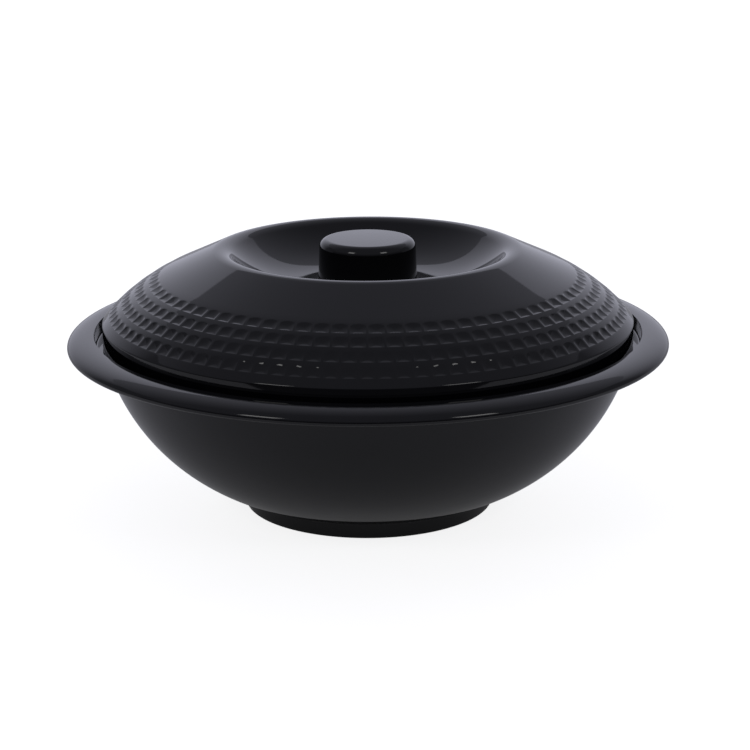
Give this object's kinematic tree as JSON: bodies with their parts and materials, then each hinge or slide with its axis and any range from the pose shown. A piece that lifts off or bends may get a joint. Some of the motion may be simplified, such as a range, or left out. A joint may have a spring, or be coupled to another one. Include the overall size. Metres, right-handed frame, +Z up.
{
  "type": "lidded serving bowl",
  "caption": "Round glossy black bowl with a turned-down rim and foot ring, and a domed lift-off lid with rings of small pockets, a dished top and a round knob.",
  "frame": {"origin": "centre of the foot ring's resting face, on the axis of the bowl", "axes": "+Z up along the axis of the bowl and the lid; X and Y are level"},
  "size_m": [0.25, 0.25, 0.113],
  "materials": {
    "bowl_melamine": "gloss",
    "lid_melamine": "gloss",
    "knob_melamine": "gloss",
    "insert_brass": "turned",
    "fixing_steel": "satin"
  },
  "bodies": {
    "bowl": {"bowl": "bowl_melamine"},
    "lid": {"lid": "lid_melamine", "knob": "knob_melamine", "knob_insert": "insert_brass", "knob_washer": "fixing_steel", "knob_screw": "fixing_steel"}
  },
  "joints": [
    {"name": "lid_lift", "type": "slide", "parent": "bowl", "child": "lid", "axis": [0, 0, 1], "range_m": [0, 0.12]}
  ]
}
